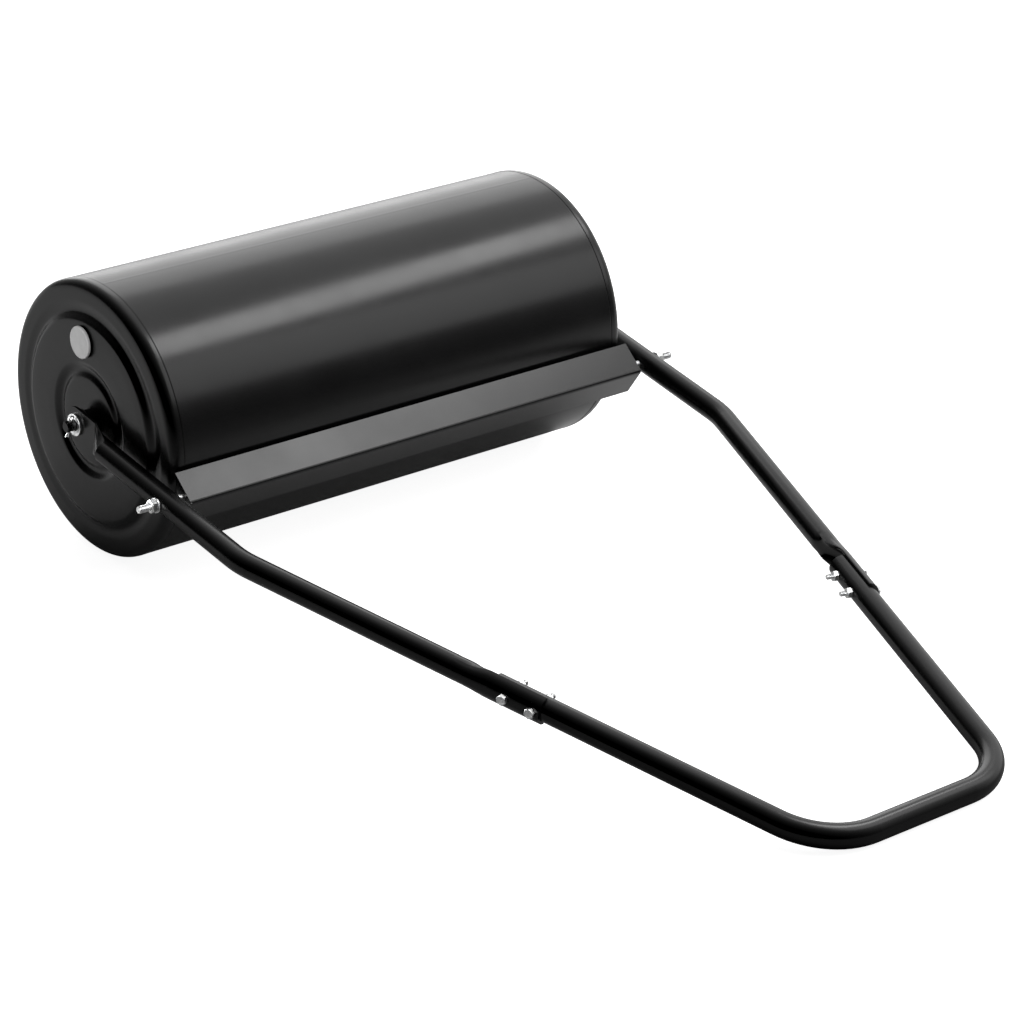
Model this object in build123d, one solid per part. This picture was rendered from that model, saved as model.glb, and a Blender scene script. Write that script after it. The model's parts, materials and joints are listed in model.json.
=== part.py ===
from build123d import *
from math import asin, atan2, cos, degrees, hypot, radians, sin, sqrt
import os

# Walk-behind lawn roller: a water-filled steel drum that turns on a through axle, a bent tube
# handle frame that swings on the same axle, and a folded scraper bar bolted between the arms.
#
# Row frame: X lies along the drum, the handle reaches towards -Y, +Z is up and the ground is Z = 0.
# The origin is the middle of the object's bounding box, at ground level.
# "left" is the -X side. Every piece is first modelled with the axle centre at the origin.

# --- driving dimensions, mm -------------------------------------------------------------------

DRUM_R = 150.0               # drum radius, 300 mm across
DRUM_FACE = 300.0            # half the drum length, to the flat rim of each end cap
SHEET = 1.2                  # steel sheet of the shell, the caps and the scraper
EDGE_R = 10.0                # rounded shoulder of an end cap
SKIRT = 14.0                 # depth of the cap's skirt, down to the seam with the shell
SEAM_GAP = 0.4

TUBE_R = 12.5                # handle tube, 25 mm across
TUBE_WALL = 1.5
HANDLE_REACH = 947.0         # axle centre to the centre line of the crossbar, along the frame
GRIP_HALF = 118.0            # half the distance between the crossbar's corner points
GRIP_BEND_R = 75.0

ARM_X_AXLE = 324.0           # tube centre line beside the axle
ARM_X_BEND = 319.4           # tube centre line at the bend
ARM_BEND_U = 299.0           # axle centre to the bend, along the frame
ARM_BEND_R = 90.0

PLATE_X = 318.0              # middle of the arm's flattened end
PLATE_T = 2 * TUBE_WALL      # two tube walls pressed together
PLATE_HALF = 19.0            # half the width of the flattened end
PLATE_END = 34.0             # where the flat ends and the tube starts to open
TUBE_START = 60.0            # where the tube is fully round

TROUGH_R = TUBE_R + PLATE_T  # outside of the pressed trough that holds the handle bar
COLLAPSE_S = 258.0           # distances along the arm's rear leg, from the bend
LIP_S = 276.0                # where the pressed tube's lips start to spread
TROUGH_S = 304.0
HANDLE_BAR_S = 307.0
TROUGH_END_S = 365.5
JOINT_BOLT_S = (325.0, 357.0)
LIP_ANGLE = 76.0             # half the angle that the trough wraps round the handle bar
LIP_START = 128.0            # the same angle where the wall starts to be pressed in
SEAT_GAP = 0.05              # between the trough and the handle bar
CAVITY_END = 0.72            # share of the pressed stretch where the two walls meet

AXLE_R = 6.0
AXLE_END = 332.5
SLEEVE_R = 12.5
SLEEVE_BORE = 10.5
SLEEVE_END = 310.5
BUSH_FLANGE = 3.0
BUSH_DEPTH = 25.0
RUNNING_GAP = 0.06           # radial clearance of a running fit
WASHER_R = 12.0
WASHER_T = 2.5
PIN_X = 327.0                # split pins, close to the axle's ends
PIN_TILT = 18.0              # the eye leans towards the handle
PIN_WIRE_R = 0.75
PIN_EYE_R = 2.6
PIN_LEGS = ((0.68, -32, 7.5), (-0.68, 10, 8.5))     # place, lean in degrees and length of a leg's tip
INNER_WASHER_X = 313.8       # between the bush and the arm's flat end
OUTER_WASHER_X = 319.7       # between the flat end and the split pin

PLUG_Y = 8.0                 # filler plug, measured from the axle centre
PLUG_Z = 86.5
PLUG_HEAD_R = 17.5
PLUG_HEAD_T = 3.0
NECK_R = 16.0
NECK_BORE = 13.5
NECK_TOP = DRUM_FACE + 4.8   # seat of the seal
SEAL_T = 0.8

SCRAPER_HALF = 301.5         # half the scraper's length
LIP_TOP = (-155.0, -3.4)     # scraper section, as (Y, Z) from the axle centre
FOLD = (-183.5, -26.5)
LIP_LOW = (-162.6, -57.3)
EAR_T = 1.5
SCRAPER_BOLT_U = 170.8       # bolt through arm and scraper, along the frame from the axle

# Hexagon fasteners: thread radius, width across flats, head height, nut height
M6 = (3.0, 10.0, 4.0, 5.0)
M8 = (4.0, 13.0, 5.3, 6.5)
JOINT_BOLT_LENGTH = 40.0
SCRAPER_BOLT_TURN = 51.0     # a flat of the head lies along the scraper's top panel
SCRAPER_BOLT_LENGTH = 56.0
M8_WASHER_R = 8.0
M8_WASHER_T = 1.6

# --- values worked out from them --------------------------------------------------------------

TILT = degrees(asin((DRUM_R - TUBE_R) / HANDLE_REACH))       # the crossbar rests on the ground
FRONT_EDGE = -HANDLE_REACH * cos(radians(TILT)) - TUBE_R
AXLE_CENTRE = Pos(0, -(DRUM_R + FRONT_EDGE) / 2, DRUM_R)

NEST = TROUGH_R - TUBE_R                                     # handle bar axis, inboard of the arm's
LEG_DX = GRIP_HALF - ARM_X_BEND
LEG_DU = HANDLE_REACH - ARM_BEND_U
LEG_ANGLE = degrees(atan2(-LEG_DX, LEG_DU) - asin(NEST / hypot(LEG_DX, LEG_DU)))


# --- placing ----------------------------------------------------------------------------------

def upright(shape):
    """Place a piece that was modelled about the axle centre."""
    return AXLE_CENTRE * shape


def on_frame(shape):
    """Place a piece that was modelled in the flat handle frame, tilted down to the ground."""
    return AXLE_CENTRE * Rot(TILT, 0, 0) * shape


def other_side(shape):
    return mirror(shape, about=Plane.YZ)


def along_x(radius, x_from, x_to, y=0.0, z=0.0):
    """A round bar parallel to the axle."""
    bar = Cylinder(radius, x_to - x_from, align=(Align.CENTER, Align.CENTER, Align.MIN))
    return Pos(x_from, y, z) * Rot(0, 90, 0) * bar


def ring_x(outer, inner, x_from, x_to, y=0.0, z=0.0):
    return along_x(outer, x_from, x_to, y, z) - along_x(inner, x_from - 1, x_to + 1, y, z)


def arm_x(u):
    """Lateral place of the front leg's centre line, at a distance u from the axle."""
    return ARM_X_AXLE + (ARM_X_BEND - ARM_X_AXLE) * u / ARM_BEND_U


def leg(s, outward=0.0):
    """A point on the right rear leg: s along it from the bend, and a distance outward from it."""
    a = radians(LEG_ANGLE)
    x = ARM_X_BEND - s * sin(a) + outward * cos(a)
    return Vector(x, -ARM_BEND_U - s * cos(a) - outward * sin(a), 0)


def leg_bar(radius, s_from, s_to, outward=0.0):
    start = leg(s_from, outward)
    run = leg(s_to, outward) - start
    return Plane(start, z_dir=run) * Cylinder(radius, run.length, align=(Align.CENTER, Align.CENTER, Align.MIN))


# --- fasteners --------------------------------------------------------------------------------

def hexagon(flats, height, turn=0.0):
    """A hexagon prism from Z = 0 up, with the corners of its top turned off."""
    corner = flats / sqrt(3)
    prism = Rot(0, 0, turn) * extrude(RegularPolygon(corner, 6), height)
    blank = Cylinder(corner + 0.1, height, align=(Align.CENTER, Align.CENTER, Align.MIN))
    return prism & chamfer(blank.edges().sort_by(Axis.Z)[-1], 0.7, 1.2)


def hex_bolt(size, length, turn=0.0):
    """A bolt whose head stands on Z = 0 and whose shank points down."""
    radius, flats, head, _ = size
    shank = Cylinder(radius, length, align=(Align.CENTER, Align.CENTER, Align.MAX))
    shank = chamfer(shank.edges().sort_by(Axis.Z)[0], 0.8)
    return hexagon(flats, head, turn) + shank


def hex_nut(size, turn=0.0):
    """A nut whose seat is Z = 0, with its bore just clear of the thread."""
    radius, flats, _, height = size
    return hexagon(flats, height, turn) - Cylinder(radius + 0.02, 3 * height)


# --- drum -------------------------------------------------------------------------------------

def cap_profile():
    """Section of an end cap: radius along X, height above the rim face along Y."""
    pressing = [(42, 3.0), (54, 0.4), (66, 3.8), (79, 4.1), (94, 4.0), (107, 3.4), (119, -1.5), (131, 0)]
    shoulder_r = DRUM_R - EDGE_R

    def skin(drop):
        points = [(x, y - drop) for x, y in pressing]
        reach = (EDGE_R - drop) / sqrt(2)
        middle = (shoulder_r + reach, reach - EDGE_R)
        return [
            Line((SLEEVE_R, points[0][1]), points[0]),
            Spline(points, tangents=[(1, 0), (1, 0)]),
            Line(points[-1], (shoulder_r, -drop)),
            ThreePointArc((shoulder_r, -drop), middle, (DRUM_R - drop, -EDGE_R)),
        ]

    tongue = DRUM_R - SHEET - 0.1
    skirt = Polyline(
        (DRUM_R, -EDGE_R),
        (DRUM_R, -SKIRT),
        (tongue, -SKIRT),
        (tongue, -2 * SKIRT),
        (tongue - SHEET, -2 * SKIRT),
        (tongue - SHEET, -SKIRT + 1),
        (DRUM_R - SHEET, -SKIRT + 3),
        (DRUM_R - SHEET, -EDGE_R),
    )
    hub = Line((SLEEVE_R, pressing[0][1]), (SLEEVE_R, pressing[0][1] - SHEET))
    return make_face(skin(0) + skin(SHEET) + [skirt, hub])


def end_cap():
    """The right cap, a pressed dish with two ring beads and a tongue that enters the shell."""
    dish = revolve(Plane.XZ * cap_profile(), Axis.Z)
    return Pos(DRUM_FACE, 0, 0) * Rot(0, 90, 0) * dish


def left_cap():
    return other_side(end_cap()) - along_x(NECK_R, -DRUM_FACE - 20, -DRUM_FACE + 20, PLUG_Y, PLUG_Z)


def drum_shell():
    half = DRUM_FACE - SKIRT - SEAM_GAP
    return ring_x(DRUM_R, DRUM_R - SHEET, -half, half)


def centre_sleeve():
    return ring_x(SLEEVE_R, SLEEVE_BORE, -SLEEVE_END, SLEEVE_END)


def bush():
    """Flanged nylon bush in the right end of the sleeve."""
    barrel = along_x(SLEEVE_BORE, SLEEVE_END - BUSH_DEPTH, SLEEVE_END)
    flange = along_x(SLEEVE_R + 2.5, SLEEVE_END, SLEEVE_END + BUSH_FLANGE)
    return barrel + flange - along_x(AXLE_R + RUNNING_GAP, 0, SLEEVE_END + 10)


def filler_neck():
    return ring_x(NECK_R, NECK_BORE, -NECK_TOP, -NECK_TOP + 24, PLUG_Y, PLUG_Z)


def plug_seal():
    return ring_x(NECK_R + 0.6, NECK_BORE - 1, -NECK_TOP - SEAL_T, -NECK_TOP, PLUG_Y, PLUG_Z)


def filler_plug():
    """A stopper that turns in the neck, with a flat round head outside."""
    under = -NECK_TOP - SEAL_T - 0.1
    head = along_x(PLUG_HEAD_R, under - PLUG_HEAD_T, under, PLUG_Y, PLUG_Z)
    head = fillet(head.edges().sort_by(Axis.X)[0], 1.0)
    stem = along_x(NECK_BORE - 1.3, under, -NECK_TOP + 1, PLUG_Y, PLUG_Z)
    body = along_x(NECK_BORE - RUNNING_GAP, -NECK_TOP + 1, -NECK_TOP + 18, PLUG_Y, PLUG_Z)
    hollow = along_x(NECK_BORE - 3, -NECK_TOP + 3, -NECK_TOP + 20, PLUG_Y, PLUG_Z)
    return head + stem + body - hollow


# --- axle -------------------------------------------------------------------------------------

def pin_plane(side):
    """Local Z runs along a split pin, local X points away from the drum."""
    return Pos(side * PIN_X, 0, 0) * Rot(PIN_TILT, 0, 0) * Rot(0, 0, 90 - 90 * side)


def axle_rod():
    rod = along_x(AXLE_R, -AXLE_END, AXLE_END)
    rod = chamfer(rod.edges().filter_by(GeomType.CIRCLE), 1.0)
    for side in (-1, 1):
        rod -= pin_plane(side) * Cylinder(2 * PIN_WIRE_R + 0.2, 4 * AXLE_R)
    return rod


def split_pin(side):
    """Round wire bent double: an eye above the axle and two opened legs below it."""
    top = AXLE_R + 2.0
    bottom = -AXLE_R - 1.5
    ring = Rot(90, 0, 0) * Torus(PIN_EYE_R, PIN_WIRE_R)
    pin = Pos(0, 0, top + PIN_EYE_R) * ring
    upward = (Align.CENTER, Align.CENTER, Align.MIN)
    downward = (Align.CENTER, Align.CENTER, Align.MAX)
    for x, lean, tip in PIN_LEGS:
        pin += Pos(x, 0, bottom) * Cylinder(PIN_WIRE_R, top - bottom, align=upward)
        pin += Pos(x, 0, bottom) * Sphere(PIN_WIRE_R)
        pin += Pos(x, 0, bottom) * Rot(0, lean, 0) * Cylinder(PIN_WIRE_R, tip, align=downward)
    return pin_plane(side) * pin


def axle_washer(x_from):
    return ring_x(WASHER_R, AXLE_R + 0.5, x_from, x_from + WASHER_T)


# --- handle frame, modelled flat --------------------------------------------------------------

def arm_path():
    start = (arm_x(TUBE_START), -TUBE_START, 0)
    bend = (ARM_X_BEND, -ARM_BEND_U, 0)
    return FilletPolyline(start, bend, leg(COLLAPSE_S), radius=ARM_BEND_R)


def swept_rod(path, radius):
    section = Plane(origin=path @ 0, z_dir=path % 0) * Circle(radius)
    return sweep(section, path)


def flat_to_round(width, thickness, radius):
    """The opening stretch between the flattened end and the round tube."""
    flat = Plane(origin=(PLATE_X, -PLATE_END, 0), x_dir=(1, 0, 0), z_dir=(0, -1, 0))
    along_tube = (ARM_X_BEND - ARM_X_AXLE, -ARM_BEND_U, 0)
    tube = Plane(origin=(arm_x(TUBE_START), -TUBE_START, 0), x_dir=(1, 0, 0), z_dir=along_tube)
    return loft([flat * RectangleRounded(thickness, width, 0.49 * thickness), tube * Circle(radius)])


def flattened_end():
    eye = along_x(PLATE_HALF, PLATE_X - PLATE_T / 2, PLATE_X + PLATE_T / 2)
    web = Pos(PLATE_X, -PLATE_END / 2, 0) * Box(PLATE_T, PLATE_END, 2 * PLATE_HALF)
    return eye + web


def joint_place(s):
    """Local Z points outward across the leg, from the outside of the trough."""
    seat = leg(s, TUBE_R)
    return Plane(seat, z_dir=leg(s, 1) - leg(s))


def pressed(s, start=COLLAPSE_S):
    """How far the pressing has gone at s: 0 on the round tube, 1 along the trough."""
    t = min(max((s - start) / (TROUGH_S - start), 0), 1)
    return t * t * (3 - 2 * t)


def across_leg(s):
    """Plane across the leg at s: local X points outward, local Y up."""
    outward = leg(s, 1) - leg(s)
    return Plane(leg(s), x_dir=outward, z_dir=outward.cross(Vector(0, 0, 1)))


def polar(centre, radius, angle):
    return Vector(centre + radius * cos(radians(angle)), radius * sin(radians(angle)))


def mixed(start, end, t):
    return start + (end - start) * t


def arm_section(s):
    """Outline of the arm at s: an outer wall, two rounded lips and the wall that is pressed in."""
    spread = pressed(s, LIP_S)
    centre = -NEST * spread
    outside = TUBE_R + NEST * spread
    bed = TUBE_R + SEAT_GAP
    top = polar(centre, outside, LIP_ANGLE)
    round_crest = polar(0, TUBE_R, (LIP_ANGLE + LIP_START) / 2)
    trough_crest = polar(-NEST, TUBE_R, LIP_ANGLE + 6) + Vector(0, NEST / 2)
    crest = mixed(round_crest, trough_crest, spread)
    lip = mixed(polar(0, TUBE_R, LIP_START), polar(-NEST, bed, LIP_ANGLE), spread)
    middle = mixed(Vector(-TUBE_R, 0), Vector(bed - NEST, 0), pressed(s))
    flip = [Vector(p.X, -p.Y) for p in (top, crest, lip)]
    outline = [
        ThreePointArc(flip[0], (centre + outside, 0), top),
        ThreePointArc(top, crest, lip),
        ThreePointArc(lip, middle, flip[2]),
        ThreePointArc(flip[2], flip[1], flip[0]),
    ]
    return across_leg(s) * make_face(outline)


def cavity_section(s):
    """The hollow inside the arm at s, closing to a thin lens as the inner wall is pressed in."""
    spread = pressed(s, LIP_S)
    t = pressed(s)
    outside = TUBE_R - TUBE_WALL + NEST * spread
    corner = polar(-NEST * spread, outside, 90 - 16 * t)
    middle = (1 - t) * -TUBE_R + t * (TUBE_R - NEST) + TUBE_WALL
    foot = Vector(corner.X, -corner.Y)
    outline = [
        ThreePointArc(foot, (outside - NEST * spread, 0), corner),
        ThreePointArc(corner, (middle, 0), foot),
    ]
    return across_leg(s) * make_face(outline)


def trough():
    """The arm's far end: its inner wall is pressed over until it cups the handle bar."""
    steps = [COLLAPSE_S + (TROUGH_S - COLLAPSE_S) * k for k in (0, 0.25, 0.42, 0.58, 0.75, 1)]
    pressing = loft([arm_section(s) for s in steps])
    straight = extrude(arm_section(TROUGH_S), TROUGH_END_S - TROUGH_S, dir=leg(TROUGH_END_S) - leg(TROUGH_S))
    return pressing + straight


def arm():
    """The right arm, one bent tube: flat eye at the axle, pressed trough at the handle bar."""
    path = arm_path()
    body = flattened_end() + flat_to_round(2 * PLATE_HALF, PLATE_T, TUBE_R)
    body += swept_rod(path, TUBE_R) + trough()
    bore_r = TUBE_R - TUBE_WALL
    closing = [COLLAPSE_S + (TROUGH_S - COLLAPSE_S) * k for k in (0, 0.25, 0.42, 0.58, CAVITY_END)]
    bore = swept_rod(path, bore_r) + loft([cavity_section(s) for s in closing])
    bore += flat_to_round(2 * PLATE_HALF - 4, 0.4, bore_r)
    body -= bore
    body -= along_x(AXLE_R + RUNNING_GAP, PLATE_X - 10, PLATE_X + 10)
    body -= along_x(M8[0] + 0.25, ARM_X_BEND - 30, ARM_X_AXLE + 30, -SCRAPER_BOLT_U)
    for s in JOINT_BOLT_S:
        body -= joint_place(s) * Cylinder(M6[0] + 0.25, 80)
    return body


def handle_bar():
    """The U bar: crossbar to grip, two legs running back into the troughs."""
    rear = leg(HANDLE_BAR_S, -NEST)
    corner = Vector(GRIP_HALF, -HANDLE_REACH, 0)
    mirrored = [Vector(-p.X, p.Y, 0) for p in (corner, rear)]
    path = FilletPolyline(rear, corner, *mirrored, radius=GRIP_BEND_R)
    bar = swept_rod(path, TUBE_R) - swept_rod(path, TUBE_R - TUBE_WALL)
    for s in JOINT_BOLT_S:
        hole = joint_place(s) * Cylinder(M6[0] + 0.25, 80)
        bar -= hole
        bar -= other_side(hole)
    return bar


# --- fasteners of the frame -------------------------------------------------------------------

def joint_bolts():
    return [joint_place(s) * hex_bolt(M6, JOINT_BOLT_LENGTH, turn) for s, turn in zip(JOINT_BOLT_S, (8, 35))]


def joint_nuts():
    depth = TUBE_R + NEST + TUBE_R
    return [joint_place(s) * Pos(0, 0, -depth - M6[3]) * hex_nut(M6, 20) for s in JOINT_BOLT_S]


def scraper():
    """Folded channel, open towards the drum, with a drilled ear closing each end."""
    section = trace(FilletPolyline(LIP_TOP, FOLD, LIP_LOW, radius=3.0), SHEET)
    channel = extrude(Plane.YZ * section, SCRAPER_HALF, both=True)
    ear_face = Plane.YZ * make_face(Polyline(LIP_TOP, FOLD, LIP_LOW, close=True))
    ear = Pos(SCRAPER_HALF - EAR_T, 0, 0) * extrude(ear_face, EAR_T)
    hole = along_x(M8[0] + 0.25, SCRAPER_HALF - 10, SCRAPER_HALF + 10, *scraper_axis())
    ear -= hole
    return channel + ear + other_side(ear)


def scraper_axis():
    """Y and Z of the scraper bolts, on the arm's centre line."""
    tilt = radians(TILT)
    return -SCRAPER_BOLT_U * cos(tilt), -SCRAPER_BOLT_U * sin(tilt)


def scraper_place(x):
    """Local Z points towards the drum's middle from a plane across the right arm's bolt."""
    y, z = scraper_axis()
    return Pos(x, y, z) * Rot(0, -90, 0)


def scraper_bolt():
    return scraper_place(SCRAPER_HALF - EAR_T) * hex_bolt(M8, SCRAPER_BOLT_LENGTH, SCRAPER_BOLT_TURN)


def washer_seat():
    """The arm leans, so the washer bears on the rim nearest the axle."""
    return arm_x(SCRAPER_BOLT_U - M8_WASHER_R) + TUBE_R


def scraper_washer():
    y, z = scraper_axis()
    return ring_x(M8_WASHER_R, M8[0] + 0.3, washer_seat(), washer_seat() + M8_WASHER_T, y, z)


def scraper_nut():
    seat = washer_seat() + M8_WASHER_T
    return scraper_place(seat + M8[3]) * hex_nut(M8, 10)


# --- writing ----------------------------------------------------------------------------------

def save(name, shape):
    export_step(shape, f"parts/{name}.step")


def save_pair(name, shape):
    save(f"{name}_right", upright(shape))
    save(f"{name}_left", upright(other_side(shape)))


def main():
    os.makedirs("parts", exist_ok=True)

    save("drum_shell", upright(drum_shell()))
    save("end_cap_right", upright(end_cap()))
    save("end_cap_left", upright(left_cap()))
    save("centre_sleeve", upright(centre_sleeve()))
    save_pair("bush", bush())
    save("filler_neck", upright(filler_neck()))
    save("plug_seal", upright(plug_seal()))
    save("filler_plug", upright(filler_plug()))

    save("axle_rod", upright(axle_rod()))
    save_pair("inner_washer", axle_washer(INNER_WASHER_X))
    save_pair("outer_washer", axle_washer(OUTER_WASHER_X))
    save("split_pin_right", upright(split_pin(1)))
    save("split_pin_left", upright(split_pin(-1)))

    save("arm_right", on_frame(arm()))
    save("arm_left", on_frame(other_side(arm())))
    save("handle_bar", on_frame(handle_bar()))
    for name, group in (("joint_bolts", joint_bolts()), ("joint_nuts", joint_nuts())):
        save(f"{name}_right", on_frame(Compound(children=group)))
        save(f"{name}_left", on_frame(other_side(Compound(children=group))))
    save("scraper", upright(scraper()))
    save_pair("scraper_bolt", scraper_bolt())
    save_pair("scraper_washer", scraper_washer())
    save_pair("scraper_nut", scraper_nut())


main()
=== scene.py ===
import json
from math import cos, pi, radians, sin, sqrt, tan

import bmesh
import bpy
import numpy as np
from mathutils import Matrix, Quaternion, Vector


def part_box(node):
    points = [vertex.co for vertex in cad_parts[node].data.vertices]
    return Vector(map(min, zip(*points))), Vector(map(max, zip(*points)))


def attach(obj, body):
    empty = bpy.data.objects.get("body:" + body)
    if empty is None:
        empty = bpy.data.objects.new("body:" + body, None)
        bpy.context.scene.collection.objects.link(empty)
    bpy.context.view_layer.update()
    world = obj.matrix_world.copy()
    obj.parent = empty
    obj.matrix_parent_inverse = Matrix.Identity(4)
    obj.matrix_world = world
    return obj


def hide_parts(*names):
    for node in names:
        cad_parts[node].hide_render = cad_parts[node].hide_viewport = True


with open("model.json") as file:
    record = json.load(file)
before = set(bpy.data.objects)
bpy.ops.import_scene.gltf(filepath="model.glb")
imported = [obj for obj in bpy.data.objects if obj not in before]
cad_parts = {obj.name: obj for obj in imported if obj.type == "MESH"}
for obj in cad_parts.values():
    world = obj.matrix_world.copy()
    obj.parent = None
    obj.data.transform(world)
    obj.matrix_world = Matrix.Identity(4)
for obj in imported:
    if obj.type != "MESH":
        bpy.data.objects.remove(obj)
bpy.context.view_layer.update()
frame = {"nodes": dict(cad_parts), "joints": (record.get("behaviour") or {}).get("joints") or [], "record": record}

# --- places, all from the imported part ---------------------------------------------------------

joints = {j["name"]: j for j in frame["joints"]}
AXLE = Vector(joints["drum_spin"]["pos_m"])
MM = 0.001


# --- node helpers -----------------------------------------------------------------------------

NOISE_ROUGHNESS = 0.55


class Graph:
    """A material's node tree, with short calls for the nodes used here."""

    def __init__(self, name):
        self.mat = bpy.data.materials.new(name)
        self.mat.use_nodes = True
        self.nodes = self.mat.node_tree.nodes
        self.links = self.mat.node_tree.links
        self.shader = self.nodes["Principled BSDF"]

    def put(self, kind, **values):
        node = self.nodes.new(kind)
        for key, value in values.items():
            if key in node.inputs:
                node.inputs[key].default_value = value
            else:
                setattr(node, key, value)
        return node

    def join(self, out, into):
        self.links.new(out, into)

    def place(self):
        return self.put("ShaderNodeTexCoord").outputs["Object"]

    def noise(self, scale, detail):
        node = self.put("ShaderNodeTexNoise", Scale=scale, Detail=detail, Roughness=NOISE_ROUGHNESS)
        self.join(self.place(), node.inputs["Vector"])
        return node.outputs["Fac"]

    def spread(self, fac, low, high, start=0.3, end=0.7):
        node = self.put("ShaderNodeMapRange")
        node.inputs["From Min"].default_value = start
        node.inputs["From Max"].default_value = end
        node.inputs["To Min"].default_value = low
        node.inputs["To Max"].default_value = high
        self.join(fac, node.inputs["Value"])
        return node.outputs["Result"]

    def ramp(self, fac, *stops):
        node = self.put("ShaderNodeValToRGB")
        marks = node.color_ramp.elements
        while len(marks) < len(stops):
            marks.new(0.5)
        for mark, (at, color) in zip(marks, stops):
            mark.position = at
            mark.color = (*color, 1)
        self.join(fac, node.inputs["Fac"])
        return node.outputs["Color"]

    def bump(self, height, distance, strength, under=None):
        node = self.put("ShaderNodeBump", Distance=distance, Strength=strength)
        self.join(height, node.inputs["Height"])
        if under:
            self.join(under, node.inputs["Normal"])
        return node.outputs["Normal"]

    def finish(self, color, roughness, normal, **constants):
        for key, value in constants.items():
            self.shader.inputs[key].default_value = value
        for name, out in (("Base Color", color), ("Roughness", roughness), ("Normal", normal)):
            self.join(out, self.shader.inputs[name])
        return self.mat


def powder_coat(name, dark, light, rough_low, rough_high):
    """Oven-cured powder: fine orange peel over a slow ripple, its colour a little uneven."""
    g = Graph(name)
    color = g.ramp(g.noise(9, 6), (0.3, dark), (0.75, light))
    rough = g.spread(g.noise(14, 5), rough_low, rough_high)
    ripple = g.bump(g.noise(60, 2), 0.00005, 0.35)
    peel = g.bump(g.noise(700, 3), 0.00003, 0.5, ripple)
    return g.finish(color, rough, peel, IOR=1.5)


def zinc_plate():
    """Bright plating on small steel parts: uneven gloss and fine dimples."""
    g = Graph("zinc_plate")
    color = g.ramp(g.noise(220, 5), (0.3, (0.62, 0.63, 0.65)), (0.7, (0.82, 0.82, 0.80)))
    rough = g.spread(g.noise(500, 4), 0.28, 0.46)
    dimple = g.bump(g.noise(1500, 3), 0.00002, 0.4)
    return g.finish(color, rough, dimple, Metallic=1.0)


def moulded(name, dark, light, rough_low, rough_high, grain):
    """Moulded plastic or rubber; grain is how fine its skin is."""
    g = Graph(name)
    color = g.ramp(g.noise(120, 5), (0.3, dark), (0.7, light))
    rough = g.spread(g.noise(300, 4), rough_low, rough_high)
    skin = g.bump(g.noise(grain, 3), 0.00003, 0.5)
    return g.finish(color, rough, skin, IOR=1.46)


BLACK = powder_coat(
    "black_powder_coat", (0.0026, 0.0026, 0.0028), (0.0042, 0.0042, 0.0044), 0.2, 0.27)
ZINC = zinc_plate()
PLUG_GREY = moulded("grey_plastic", (0.46,) * 3, (0.52,) * 3, 0.35, 0.5, 1800)
NYLON = moulded("black_nylon", (0.012, 0.012, 0.012), (0.02, 0.02, 0.02), 0.4, 0.55, 1500)
RUBBER = moulded("seal_rubber", (0.015, 0.015, 0.015), (0.025, 0.024, 0.023), 0.6, 0.8, 900)
FINISH = {
    "black_powder_coat": BLACK,
    "zinc_plate": ZINC,
    "grey_plastic": PLUG_GREY,
    "black_nylon": NYLON,
    "seal_rubber": RUBBER,
}

for part in frame["record"]["subparts"]:
    node = frame["nodes"][part["node"]]
    node.data.materials.clear()
    node.data.materials.append(FINISH[part["material_slot"]])


# --- turned and threaded pieces ---------------------------------------------------------------

AROUND = 48                     # points round a fastener, a multiple of six for the hexagons
BLANK_CORNER = 0.95             # where a head's turned corners start, as a share of half its flats
CORNER_TURN = radians(30)       # slope of those turned corners
ROWS_PER_PITCH = 4
THREAD_DEPTH = 0.61             # of an outside thread, in pitches
M6_PITCH, M6_BORE = 1.0 * MM, 3.02 * MM         # a bore is the nut's inside radius
M8_PITCH, M8_BORE = 1.25 * MM, 4.02 * MM
JOINT_SHANK, SCRAPER_SHANK = 4 * MM, 32 * MM    # plain length under the head
WIRE_R = 0.75 * MM              # split pin
PIN_EYE_R, PIN_EYE_Z = 2.62, 10.6
PIN_TILT = radians(18)


def islands(node):
    """The separate solids of a CAD node, each as its faces' areas, middles and corner points."""
    bm = bmesh.new()
    bm.from_mesh(frame["nodes"][node].data)
    bmesh.ops.remove_doubles(bm, verts=bm.verts, dist=1e-6)
    bm.faces.index_update()
    bm.faces.ensure_lookup_table()
    left = set(range(len(bm.faces)))
    found = []
    while left:
        group = [min(left)]
        left -= set(group)
        for index in group:
            near = {f.index for v in bm.faces[index].verts for f in v.link_faces} & left
            left -= near
            group.extend(sorted(near))
        faces = [bm.faces[k] for k in sorted(group)]
        found.append([
            (f.calc_area(), f.calc_center_median(), [v.co.copy() for v in f.verts]) for f in faces])
    bm.free()
    return sorted(found, key=lambda faces: min(p.y for f in faces for p in f[2]))


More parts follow.
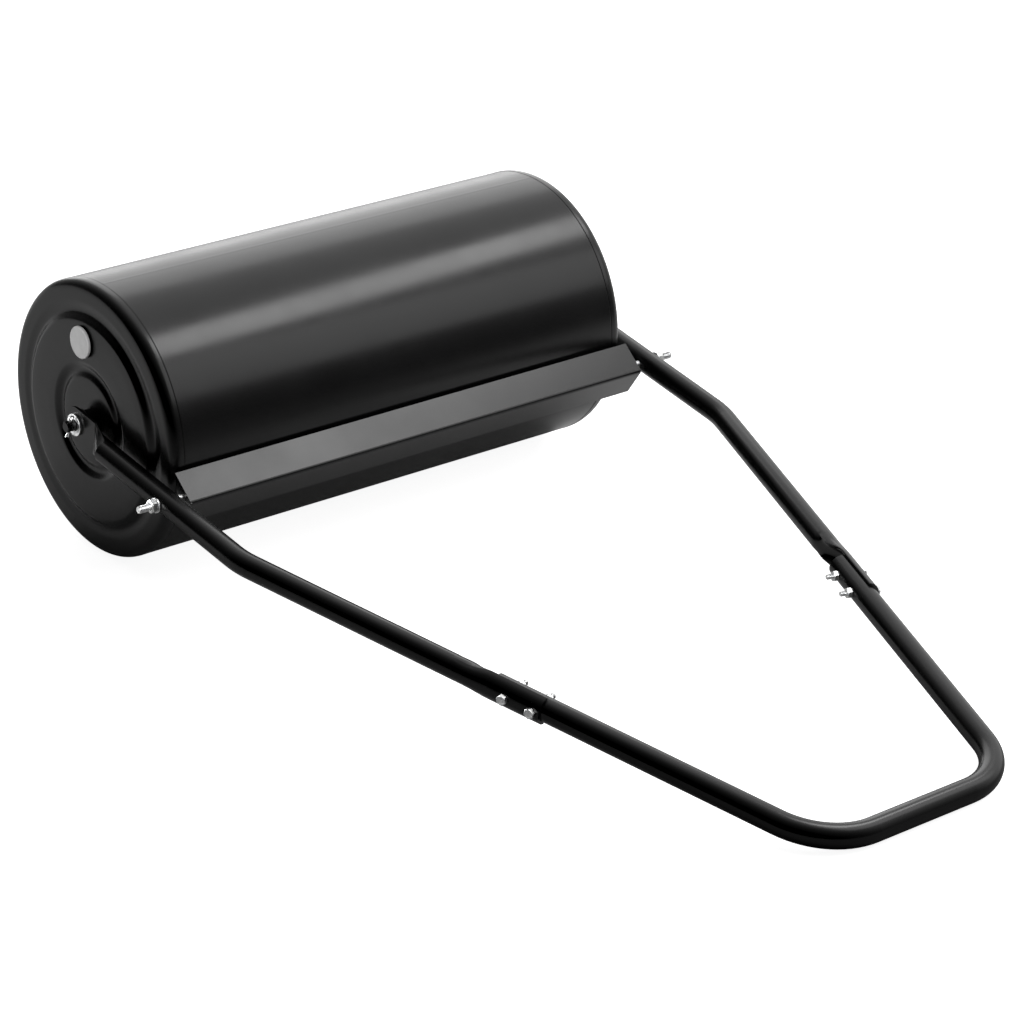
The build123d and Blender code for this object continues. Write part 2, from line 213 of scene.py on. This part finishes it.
class Turned:
    """The axis and radii of a solid that is round or hexagonal about a line."""

    def __init__(self, faces):
        area = sum(f[0] for f in faces)
        middle = sum((f[0] * f[1] for f in faces), Vector()) / area
        moments = np.zeros((3, 3))
        for weight, _, corners in faces:
            for p in corners:
                off = np.array(p - middle)
                moments += weight / len(corners) * np.outer(off, off)
        values, ways = np.linalg.eigh(moments)
        odd = 2 if values[2] - values[1] > values[1] - values[0] else 0
        self.axis = Vector(ways[:, odd]).normalized()
        offs = [p - middle for f in faces for p in f[2]]
        self.rows = sorted((off.dot(self.axis), off.cross(self.axis).length) for off in offs)
        if self.at_end(-1) > self.at_end(1):
            self.axis.negate()
            self.rows = sorted((-z, r) for z, r in self.rows)
        self.low, self.high = self.rows[0][0], self.rows[-1][0]
        self.outer = max(r for _, r in self.rows)
        self.inner = min(r for _, r in self.rows)
        self.middle = middle
        corner = max(offs, key=lambda off: off.cross(self.axis).length)
        self.side = (corner - corner.dot(self.axis) * self.axis).normalized()

    def at_end(self, end):
        edge = self.rows[-1][0] if end > 0 else self.rows[0][0]
        return max(r for z, r in self.rows if abs(z - edge) < 1e-3)

    def matrix(self):
        turn = Matrix((self.side, self.axis.cross(self.side), self.axis)).transposed()
        return Matrix.Translation(self.middle) @ turn.to_4x4()


def hexagon(flats, angle):
    """Distance from the middle to a hexagon's edge, with a corner at angle 0."""
    return flats / 2 / cos(angle % (pi / 3) - pi / 6)


def circle(radius, z):
    return [(radius, z)] * AROUND


def hexagon_rings(flats, low, high, turned_low):
    """The rings of a hexagon's outside, its corners turned off above and, if asked, below."""
    flat = flats / 2 * BLANK_CORNER
    slope = tan(CORNER_TURN)
    reach = [hexagon(flats, 2 * pi * k / AROUND) for k in range(AROUND)]
    under = [(r, low + (r - flat) * slope) if turned_low else (r, low) for r in reach]
    over = [(r, high - (r - flat) * slope) for r in reach]
    return [circle(flat, low), under, over, circle(flat, high)]


def thread_rings(crest, root, pitch, start, end):
    """Rings of a right-hand thread from start to end, fading in and out over its end rows."""
    rings = []
    count = int(abs(end - start) / pitch * ROWS_PER_PITCH)
    for row in range(count + 1):
        z = mixed(start, end, row / count)
        fade = min(row, count - row, ROWS_PER_PITCH) / ROWS_PER_PITCH
        ring = []
        for k in range(AROUND):
            phase = (z / pitch - k / AROUND) % 1
            depth = abs(2 * phase - 1)
            ring.append((crest - (crest - root) * depth * fade, z))
        rings.append(ring)
    return rings


def mixed(start, end, t):
    return start + (end - start) * t


def skin_rows(bm, rows, looped=True):
    """Joins rows of points by four-sided faces, and the last row to the first if looped."""
    for one, two in zip(rows, rows[1:] + rows[:1] if looped else rows[1:]):
        for k in range(len(one)):
            nxt = (k + 1) % len(one)
            bm.faces.new((one[k], one[nxt], two[nxt], two[k]))


def add_rings(bm, rings, matrix, looped=False):
    """Joins rings of (radius, height) into one closed skin."""
    rows = []
    for ring in rings:
        row = []
        for k, (r, z) in enumerate(ring):
            angle = 2 * pi * k / len(ring)
            row.append(bm.verts.new(matrix @ Vector((r * cos(angle), r * sin(angle), z))))
        rows.append(row)
    skin_rows(bm, rows, looped)
    if not looped:
        bm.faces.new(rows[0][::-1])
        bm.faces.new(rows[-1])


def bolt(bm, solid, pitch, plain):
    """A hexagon bolt: turned head, washer face, plain shank and rolled thread down to the tip."""
    shank = max(r for z, r in solid.rows if z < 0)
    seat = min(z for z, r in solid.rows if r > 1.3 * shank)
    flats = solid.outer * sqrt(3)
    root = shank - THREAD_DEPTH * pitch
    face = flats / 2 * 0.93
    lift = 0.25 * MM
    head = hexagon_rings(flats, seat + lift, solid.high, False)[::-1]
    dish = [circle(face * 0.78, solid.high - 0.15 * MM), circle(face * 0.9, solid.high)]
    bearing = [circle(face, seat + lift), circle(face, seat), circle(shank, seat)]
    thread = thread_rings(shank, root, pitch, seat - plain, solid.low + pitch)
    tip = [circle(root, solid.low)]
    add_rings(bm, dish + head + bearing + thread + tip, solid.matrix())


def nut(bm, solid, bore):
    """A hexagon nut with both ends turned and the mouth of its bore opened out."""
    flats = solid.outer * sqrt(3)
    mouth = bore * 1.12
    outside = hexagon_rings(flats, solid.low, solid.high, True)
    inside = [circle(mouth, solid.high), circle(bore, solid.high - mouth + bore)]
    inside += [circle(bore, solid.low + mouth - bore), circle(mouth, solid.low)]
    add_rings(bm, outside + inside, solid.matrix(), looped=True)


def washer(bm, solid):
    """A stamped washer: one outside edge rounded over, the other edges broken."""
    soft = 0.3 * MM
    rings = [
        circle(solid.inner + soft, solid.low),
        circle(solid.outer - soft / 2, solid.low),
        circle(solid.outer, solid.low + soft / 2),
        circle(solid.outer, solid.high - soft),
        circle(solid.outer - soft * 0.3, solid.high - soft * 0.3),
        circle(solid.outer - soft, solid.high),
        circle(solid.inner + soft, solid.high),
        circle(solid.inner, solid.high - soft),
        circle(solid.inner, solid.low + soft),
    ]
    add_rings(bm, rings, solid.matrix(), looped=True)


def piece(name, bm, material, body, slot, *nodes, sharp=32):
    """Makes the mesh a piece that rides on a body and stands for the CAD nodes."""
    bmesh.ops.recalc_face_normals(bm, faces=bm.faces)
    mesh = bpy.data.meshes.new(name)
    bm.to_mesh(mesh)
    bm.free()
    mesh.shade_smooth()
    mesh.set_sharp_from_angle(angle=radians(sharp))
    mesh.materials.append(material)
    obj = bpy.data.objects.new(name, mesh)
    bpy.context.scene.collection.objects.link(obj)
    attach(obj, body)
    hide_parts(*nodes)
    return obj


def fasteners():
    """Detailed bolts, nuts and washers in the places of the plain CAD ones."""
    made = []
    for side in ("left", "right"):
        kinds = (
            ("joint_bolts", "frame", lambda bm, s: bolt(bm, s, M6_PITCH, JOINT_SHANK)),
            ("joint_nuts", "frame", lambda bm, s: nut(bm, s, M6_BORE)),
            ("scraper_bolt", "frame", lambda bm, s: bolt(bm, s, M8_PITCH, SCRAPER_SHANK)),
            ("scraper_nut", "frame", lambda bm, s: nut(bm, s, M8_BORE)),
            ("scraper_washer", "frame", washer),
            ("inner_washer", "axle", washer),
            ("outer_washer", "axle", washer),
        )
        for kind, body, build in kinds:
            node = kind + "_" + side
            bm = bmesh.new()
            for faces in islands(node):
                build(bm, Turned(faces))
            made.append(piece("detailed_" + node, bm, ZINC, body, "zinc_plate", node))
    return made


def split_pin(side, name):
    """One length of wire bent double: an eye above the axle and two parted legs below it."""
    node = "split_pin_" + name
    points = [v.co for v in frame["nodes"][node].data.vertices]
    eye = [p.x for p in points if p.z > AXLE.z + 10 * MM]
    pin_x = (min(eye) + max(eye)) / 2
    path = [(2.6, -14.2), (1.6, -10.5), (0.8, -7.7), (0.68, -6), (0.68, 7.2)]
    for k in range(13):
        angle = radians(-72 + 27 * k)
        path.append((PIN_EYE_R * cos(angle), PIN_EYE_Z + PIN_EYE_R * sin(angle)))
    path += [(-0.68, 7.2), (-0.68, -6), (-0.68, -8), (-0.8, -11.5), (-1.0, -15.0)]
    curve = bpy.data.curves.new("wire_" + node, "CURVE")
    curve.dimensions = "3D"
    curve.bevel_depth = WIRE_R
    curve.bevel_resolution = 4
    curve.use_fill_caps = True
    spline = curve.splines.new("NURBS")
    spline.points.add(len(path) - 1)
    for point, (x, z) in zip(spline.points, path):
        back, up = -z * sin(PIN_TILT) * MM, z * cos(PIN_TILT) * MM
        point.co = (pin_x + side * x * MM, AXLE.y + back, AXLE.z + up, 1)
    spline.order_u = 3
    spline.use_endpoint_u = True
    curve.materials.append(ZINC)
    obj = bpy.data.objects.new("wire_" + node, curve)
    bpy.context.scene.collection.objects.link(obj)
    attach(obj, "axle")
    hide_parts(node)
    return obj


def filler_plug():
    """The filler plug: a head with a rolled edge and a shallow dished face on a threaded stem."""
    low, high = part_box("filler_plug")
    head = (high[1] - low[1]) / 2
    matrix = Matrix.Translation((low[0], (low[1] + high[1]) / 2, (low[2] + high[2]) / 2))
    matrix = matrix @ Matrix.Rotation(radians(90), 4, "Y")
    bottom = high[0] - low[0]
    edge = 1.1 * MM
    body, root, neck, hollow = 13.44 * MM, 12.6 * MM, 12.2 * MM, 10.5 * MM
    pitch = 3 * MM
    dish, seat, stem_top = 0.25 * MM, 3 * MM, 4.9 * MM
    rings = [circle(0.3 * head, dish), circle(0.74 * head, dish)]
    rings += [circle(0.79 * head, 0.03 * MM), circle(0.8 * head, 0)]
    for k in range(5):
        angle = radians(22.5 * k)
        rings.append(circle(head - edge + edge * sin(angle), edge - edge * cos(angle)))
    rings += [circle(head, 2.8 * MM), circle(head - 0.2 * MM, seat)]
    rings += [circle(neck, seat), circle(neck, stem_top)]
    rings += thread_rings(body, root, pitch, stem_top, bottom)
    rings += [circle(hollow, bottom), circle(hollow, 6.9 * MM)]
    bm = bmesh.new()
    add_rings(bm, rings, matrix)
    return piece("moulded_filler_plug", bm, PLUG_GREY, "plug", "grey_plastic", "filler_plug")


def drum_shell():
    """The rolled shell: two skins of sheet, and the ground-off weld bead where its ends meet."""
    low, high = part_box("drum_shell")
    bead, rise = radians(1.1), 0.1 * MM
    room, thickness = 0.12 * MM, 1.0 * MM       # room keeps the bead within the CAD's radius
    skin = (high[2] - low[2]) / 2 - room
    inside = skin - thickness
    seam = radians(91)
    angles = [seam + bead * k / 4 for k in range(-6, 7)]
    rest = 2 * pi - (angles[-1] - angles[0])
    steps = 288
    angles += [angles[-1] + rest * k / steps for k in range(1, steps)]
    flank = 0.6 * MM
    edge = [0, flank, 1.5 * flank, 2 * flank]
    columns = [low[0] + e for e in edge] + [mixed(low[0], high[0], k / 12) for k in range(1, 12)]
    columns += [high[0] - e for e in edge[::-1]]
    bm = bmesh.new()

    def ring(x, radius, proud):
        row = []
        for angle in angles:
            away = abs(angle - seam) / bead
            lift = rise * cos(pi / 2 * away) ** 2 if proud and away < 1 else 0
            r = radius + lift
            row.append(bm.verts.new((x, AXLE.y + r * cos(angle), AXLE.z + r * sin(angle))))
        return row

    rows = [ring(columns[0], skin - flank / 3, False)]
    rows += [ring(x, skin, True) for x in columns[1:-1]]
    rows += [ring(columns[-1], skin - flank / 3, False), ring(columns[-1], inside, False)]
    rows += [ring(columns[0], inside, False)]
    skin_rows(bm, rows)
    return piece(
        "rolled_drum_shell", bm, BLACK, "drum", "black_powder_coat", "drum_shell", sharp=25)


CAP_SHEET = 1.2                 # end cap lengths are in mm
CAP_DEPTH = 28                  # from the skirt's end to the flat of the face
SHOULDER_R, SHOULDER_AT = 10, 140
SWAGES = (                      # radius and height over the flat
    (12.5, 3.0), (45, 3.0), (54.5, -0.2), (65.5, 3.9), (107, 3.9), (118.5, -1.2), (130, 0),
    (SHOULDER_AT, 0))
SKIRT = (
    (150, -13.9), (149.6, -14), (148.6, -14), (148.6, -28), (147.4, -28), (147.4, -12.5),
    (148.8, -10.5))


def end_cap(side, name):
    """A pressed end cap: swages round the hub and inside the rim, a rolled shoulder, a skirt."""
    node = "end_cap_" + name
    low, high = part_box(node)
    inner_end = high[0] if side < 0 else low[0]
    face = abs(inner_end) + CAP_DEPTH * MM
    outside = []
    for (r0, h0), (r1, h1) in zip(SWAGES, SWAGES[1:]):
        steps = 12 if h0 != h1 else 3
        for k in range(steps):
            t = k / steps
            outside.append((mixed(r0, r1, t), mixed(h0, h1, t * t * (3 - 2 * t))))
    for k in range(9):
        angle = radians(90 - 11.25 * k)
        height = SHOULDER_R * sin(angle) - SHOULDER_R
        outside.append((SHOULDER_AT + SHOULDER_R * cos(angle), height))
    inside = []
    for one, two in zip(outside, outside[1:]):
        run = Vector((two[0] - one[0], two[1] - one[1])).normalized()
        inside.append((one[0] + CAP_SHEET * run.y, one[1] - CAP_SHEET * run.x))
    profile = outside + list(SKIRT) + inside[::-1]
    count = 192
    bm = bmesh.new()
    rows = []
    for r, h in profile:
        row = []
        for k in range(count):
            angle = 2 * pi * k / count
            y, z = AXLE.y + r * MM * cos(angle), AXLE.z + r * MM * sin(angle)
            row.append(bm.verts.new((side * (face + h * MM), y, z)))
        rows.append(row)
    skin_rows(bm, rows)
    return piece("pressed_" + node, bm, BLACK, "drum", "black_powder_coat", node, sharp=40)


def cut_neck_hole(cap):
    """Cuts the hole that the filler neck is welded into."""
    low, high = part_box("filler_neck")
    bm = bmesh.new()
    radius = (high[1] - low[1]) / 2
    at = Matrix.Translation((low[0], (low[1] + high[1]) / 2, (low[2] + high[2]) / 2))
    at = at @ Matrix.Rotation(radians(90), 4, "Y")
    bmesh.ops.create_cone(
        bm, cap_ends=True, segments=96, radius1=radius, radius2=radius, depth=0.1, matrix=at)
    mesh = bpy.data.meshes.new("neck_cutter")
    bm.to_mesh(mesh)
    bm.free()
    cutter = bpy.data.objects.new("neck_cutter", mesh)
    bpy.context.scene.collection.objects.link(cutter)
    hole = cap.modifiers.new("hole", "BOOLEAN")
    hole.object = cutter
    hole.solver = "EXACT"
    bpy.context.view_layer.update()
    graph = bpy.context.evaluated_depsgraph_get()
    cap.data = bpy.data.meshes.new_from_object(cap.evaluated_get(graph))
    cap.modifiers.clear()
    cap.data.set_sharp_from_angle(angle=radians(40))
    bpy.data.objects.remove(cutter)


# --- stage ------------------------------------------------------------------------------------

def floor():
    """Evenly white and glowing to the camera; in reflections and bounced light its colour is painted shade, darker
    towards the front left.
    """
    mesh = bpy.data.meshes.new("floor")
    bm = bmesh.new()
    bmesh.ops.create_grid(bm, x_segments=8, y_segments=8, size=12)
    bm.to_mesh(mesh)
    bm.free()
    obj = bpy.data.objects.new("floor", mesh)
    bpy.context.scene.collection.objects.link(obj)
    g = Graph("floor")
    g.nodes.remove(g.shader)
    seen = g.put("ShaderNodeBsdfDiffuse", Color=(0.93, 0.93, 0.93, 1))
    away = g.put("ShaderNodeSeparateXYZ")
    g.join(g.place(), away.inputs["Vector"])
    side = g.put("ShaderNodeMath", operation="MULTIPLY_ADD")
    g.join(away.outputs["X"], side.inputs[0])
    side.inputs[1].default_value = 0.5
    g.join(away.outputs["Y"], side.inputs[2])
    # Painted shade: for all but camera rays, the floor's colour runs from 0.24 at the front left to 0.9 behind.
    level = g.spread(side.outputs["Value"], 0.0, 1.0, -0.5, 0.35)
    shade = g.ramp(level, (0.0, (0.24,) * 3), (1.0, (0.9,) * 3))
    mirrored = g.put("ShaderNodeBsdfDiffuse")
    g.join(shade, mirrored.inputs["Color"])
    mix = g.put("ShaderNodeMixShader")
    g.join(g.put("ShaderNodeLightPath").outputs["Is Camera Ray"], mix.inputs["Fac"])
    g.join(mirrored.outputs["BSDF"], mix.inputs[1])
    glow = g.put("ShaderNodeEmission", Strength=0.92)
    lifted = g.put("ShaderNodeAddShader")
    g.join(seen.outputs["BSDF"], lifted.inputs[0])
    g.join(glow.outputs["Emission"], lifted.inputs[1])
    g.join(lifted.outputs["Shader"], mix.inputs[2])
    g.join(mix.outputs["Shader"], g.nodes["Material Output"].inputs["Surface"])
    mesh.materials.append(g.mat)


WALL_LIGHT = (                  # how far towards the bright side, and the strength there
    (0.0, 0.05), (0.1, 0.07), (0.25, 0.13), (0.45, 0.3), (0.65, 0.62), (0.8, 0.85), (1.0, 1.0))
BRIGHT_SIDE = (0.75, 0.35, 0.55)


def studio_walls():
    """White to the eye, and a tent that is open and dim towards the front."""
    world = bpy.data.worlds.new("studio")
    world.use_nodes = True
    bpy.context.scene.world = world
    nodes, links = world.node_tree.nodes, world.node_tree.links
    way = nodes.new("ShaderNodeTexCoord")
    lean = nodes.new("ShaderNodeVectorMath")
    lean.operation = "DOT_PRODUCT"
    lean.inputs[1].default_value = BRIGHT_SIDE
    links.new(way.outputs["Generated"], lean.inputs[0])
    level = nodes.new("ShaderNodeFloatCurve")
    for at, bright in WALL_LIGHT:
        if at in (0.0, 1.0):
            level.mapping.curves[0].points[int(at)].location = (at, bright)
        else:
            level.mapping.curves[0].points.new(at, bright)
    level.mapping.update()
    links.new(lean.outputs["Value"], level.inputs["Value"])
    lit = nodes.new("ShaderNodeBackground")
    white = nodes.new("ShaderNodeBackground")
    mix = nodes.new("ShaderNodeMixShader")
    links.new(level.outputs["Value"], lit.inputs["Strength"])
    white.inputs["Strength"].default_value = 1.0
    white.inputs["Color"].default_value = (1, 1, 1, 1)
    lit.inputs["Color"].default_value = (1, 1, 1, 1)
    links.new(nodes.new("ShaderNodeLightPath").outputs["Is Camera Ray"], mix.inputs["Fac"])
    links.new(lit.outputs["Background"], mix.inputs[1])
    links.new(white.outputs["Background"], mix.inputs[2])
    links.new(mix.outputs["Shader"], nodes["World Output"].inputs["Surface"])


def softbox(name, off, size, radiance, turn=0, only=()):
    """A soft lamp hidden from the camera; with only, it lights those pieces alone."""
    light = bpy.data.lights.new(name, "AREA")
    light.shape = "RECTANGLE"
    light.size, light.size_y = size
    light.energy = radiance * pi * size[0] * size[1]
    obj = bpy.data.objects.new(name, light)
    bpy.context.scene.collection.objects.link(obj)
    obj.location = AXLE + Vector(off)
    obj.rotation_mode = "QUATERNION"
    aim = Vector((off[0] if not only else 0, 0, 0))
    facing = (aim - Vector(off)).to_track_quat("-Z", "Y")
    obj.rotation_quaternion = facing @ Quaternion((0, 0, 1), radians(turn))
    obj.visible_camera = False
    if only:
        group = bpy.data.collections.new(name + "_lights")
        for lit in only:
            group.objects.link(lit)
        obj.light_linking.receiver_collection = group


LENS_MM = 131.89
CAMERA_RIGHT = Vector((0.775159, -0.631035, 0.030389))
CAMERA_UP = Vector((0.244250, 0.343702, 0.906759))


def camera():
    """A long lens from the front left, its place and turn fitted to the drum and the frame."""
    data = bpy.data.cameras.new("camera")
    data.lens = LENS_MM
    data.sensor_width = 36.0
    data.clip_end = 60
    obj = bpy.data.objects.new("camera", data)
    bpy.context.scene.collection.objects.link(obj)
    back = CAMERA_RIGHT.cross(CAMERA_UP)
    turn = Matrix((CAMERA_RIGHT, CAMERA_UP, back)).transposed()
    obj.matrix_world = Matrix.Translation((-2.2632, AXLE.y - 3.0307, 1.7219)) @ turn.to_4x4()
    bpy.context.scene.camera = obj


zinc_pieces = fasteners() + [split_pin(-1, "left"), split_pin(1, "right")]
plug = filler_plug()
drum_shell()
end_cap(1, "right")
cut_neck_hole(end_cap(-1, "left"))
floor()
studio_walls()
softbox("key", (1.08, -0.46, 1.565), (1.3, 0.5), 4.6, turn=20)
softbox("front_fill", (0.9, -1.06, 0.88), (1.5, 0.75), 1.05)
softbox("back_fill", (1.3, 1.59, 1.07), (2.4, 1.6), 1.05)
softbox("back_low", (2.0, 2.6, 0.2), (3.0, 0.7), 1.25)
softbox("left_low", (-1.9, 1.6, 0.25), (1.8, 0.7), 28.0, only=zinc_pieces)
softbox("left_fill", (-2.4, -1.2, 1.2), (2.0, 2.0), 5.0, only=zinc_pieces + [plug])
camera()
bpy.context.scene.view_settings.view_transform = "Standard"
